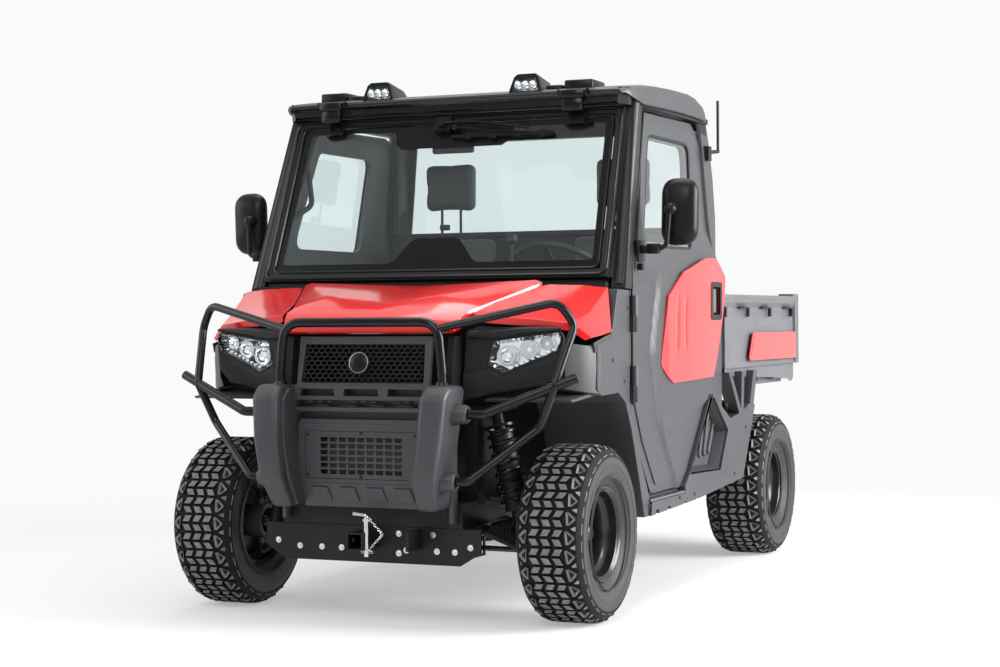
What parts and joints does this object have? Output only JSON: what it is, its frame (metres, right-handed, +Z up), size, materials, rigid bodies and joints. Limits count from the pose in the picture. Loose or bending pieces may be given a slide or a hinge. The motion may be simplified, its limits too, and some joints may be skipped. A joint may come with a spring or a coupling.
{
  "type": "side by side utility vehicle",
  "caption": "Two-seat utility vehicle with a glazed cab, bull bar, opening doors and hood, steered front wheels and a tipping cargo bed with a tailgate.",
  "frame": {"origin": "on the ground under the middle of the vehicle", "axes": "+Z up, the front faces -Y, the vehicle's left side is +X"},
  "size_m": [1.998, 3.21, 2.024],
  "materials": {
    "black_steel": "satin black paint",
    "satin_black_tube": "satin black powder coat",
    "black_rim": "semi-gloss black",
    "bed_steel": "textured charcoal powder coat",
    "red_paint": "gloss red",
    "charcoal_plastic": "moulded, fine grain",
    "cast_metal": "as cast, dark",
    "bright_steel": "plated",
    "lamp_lens": "clear moulded",
    "tinted_glass": "green-tinted safety glass",
    "seat_vinyl": "grained vinyl",
    "tyre_rubber": "rubber"
  },
  "bodies": {
    "chassis": {"main_frame": "black_steel", "cross_members": "black_steel", "lift_foot": "black_steel", "skid_plate": "black_steel", "receivers": "black_steel", "front_suspension": "black_steel", "rear_suspension": "black_steel", "front_driveline": "cast_metal", "engine": "cast_metal", "front_bumper": "charcoal_plastic", "front_grille": "charcoal_plastic", "bull_bar": "satin_black_tube", "front_fascia": "charcoal_plastic", "lamps": "lamp_lens", "front_fenders": "charcoal_plastic", "hood_corners": "red_paint", "cab_frame": "satin_black_tube", "cab_tub": "charcoal_plastic", "dashboard": "charcoal_plastic", "side_panels": "charcoal_plastic", "seats": "seat_vinyl", "roof": "charcoal_plastic", "windscreen": "tinted_glass", "rear_window": "tinted_glass", "work_lights": "charcoal_plastic", "wiper": "satin_black_tube", "antenna": "satin_black_tube"},
    "hood": {"hood": "red_paint"},
    "door_left": {"door_left": "charcoal_plastic", "door_left_panel": "red_paint", "door_left_glass": "tinted_glass"},
    "door_right": {"door_right": "charcoal_plastic", "door_right_panel": "red_paint", "door_right_glass": "tinted_glass"},
    "cargo_bed": {"cargo_bed": "bed_steel", "bed_panels": "red_paint"},
    "tailgate": {"tailgate": "bed_steel"},
    "lift_cylinder": {"lift_cylinder": "black_steel"},
    "lift_rod": {"lift_rod": "bright_steel"},
    "steering_rack": {"steering_rack": "black_steel"},
    "steering_wheel": {"steering_wheel": "charcoal_plastic"},
    "knuckle_left": {"knuckle_left": "cast_metal"},
    "knuckle_right": {"knuckle_right": "cast_metal"},
    "wheel_front_left": {"tyre_front_left": "tyre_rubber", "rim_front_left": "black_rim"},
    "wheel_front_right": {"tyre_front_right": "tyre_rubber", "rim_front_right": "black_rim"},
    "wheel_rear_left": {"tyre_rear_left": "tyre_rubber", "rim_rear_left": "black_rim"},
    "wheel_rear_right": {"tyre_rear_right": "tyre_rubber", "rim_rear_right": "black_rim"}
  },
  "joints": [
    {"name": "hood_hinge", "type": "hinge", "parent": "chassis", "child": "hood", "pos_m": [0, -0.955, 1.204], "axis": [-1, 0, 0], "range_deg": [0, 50]},
    {"name": "door_left_hinge", "type": "hinge", "parent": "chassis", "child": "door_left", "pos_m": [0.796, -0.815, 0], "axis": [0, 0, -1], "range_deg": [0, 70]},
    {"name": "door_right_hinge", "type": "hinge", "parent": "chassis", "child": "door_right", "pos_m": [-0.796, -0.815, 0], "axis": [0, 0, 1], "range_deg": [0, 70]},
    {"name": "bed_tilt", "type": "hinge", "parent": "chassis", "child": "cargo_bed", "pos_m": [0, 1.43, 0.745], "axis": [-1, 0, 0], "range_deg": [0, 45]},
    {"name": "tailgate_hinge", "type": "hinge", "parent": "cargo_bed", "child": "tailgate", "pos_m": [0, 1.587, 0.874], "axis": [-1, 0, 0], "range_deg": [0, 90]},
    {"name": "lift_pivot", "type": "hinge", "parent": "chassis", "child": "lift_cylinder", "pos_m": [0.25, 1.28, 0.44], "axis": [-1, 0, 0], "range_deg": [-2, 38]},
    {"name": "lift_slide", "type": "slide", "parent": "lift_cylinder", "child": "lift_rod", "axis": [0, -0.7526, 0.6585], "range_m": [0, 0.24]},
    {"name": "steer_left", "type": "hinge", "parent": "chassis", "child": "knuckle_left", "pos_m": [0.6, -1.14, 0.3175], "axis": [0, 0, 1], "range_deg": [-28, 28]},
    {"name": "steer_right", "type": "hinge", "parent": "chassis", "child": "knuckle_right", "pos_m": [-0.6, -1.14, 0.3175], "axis": [0, 0, 1], "range_deg": [-28, 28]},
    {"name": "rack_slide", "type": "slide", "parent": "chassis", "child": "steering_rack", "axis": [1, 0, 0], "range_m": [-0.045, 0.045]},
    {"name": "steering_turn", "type": "hinge", "parent": "chassis", "child": "steering_wheel", "pos_m": [0.35, -0.45, 1.262], "axis": [0, 0.5736, 0.8191], "range_deg": [-400, 400]},
    {"name": "wheel_front_left_spin", "type": "hinge", "parent": "knuckle_left", "child": "wheel_front_left", "pos_m": [0.695, -1.14, 0.3175], "axis": [1, 0, 0], "continuous": true},
    {"name": "wheel_front_right_spin", "type": "hinge", "parent": "knuckle_right", "child": "wheel_front_right", "pos_m": [-0.695, -1.14, 0.3175], "axis": [1, 0, 0], "continuous": true},
    {"name": "wheel_rear_left_spin", "type": "hinge", "parent": "chassis", "child": "wheel_rear_left", "pos_m": [0.695, 1.06, 0.3175], "axis": [1, 0, 0], "continuous": true},
    {"name": "wheel_rear_right_spin", "type": "hinge", "parent": "chassis", "child": "wheel_rear_right", "pos_m": [-0.695, 1.06, 0.3175], "axis": [1, 0, 0], "continuous": true}
  ],
  "couplings": [
    {"joint": "steer_right", "follows": "steer_left", "ratio": 1},
    {"joint": "rack_slide", "follows": "steer_left", "m_per_rad": -0.084},
    {"joint": "steering_turn", "follows": "steer_left", "ratio": 14},
    {"joint": "lift_pivot", "follows": "bed_tilt", "ratio": 0.7495},
    {"joint": "lift_slide", "follows": "bed_tilt", "m_per_rad": 0.2967}
  ]
}
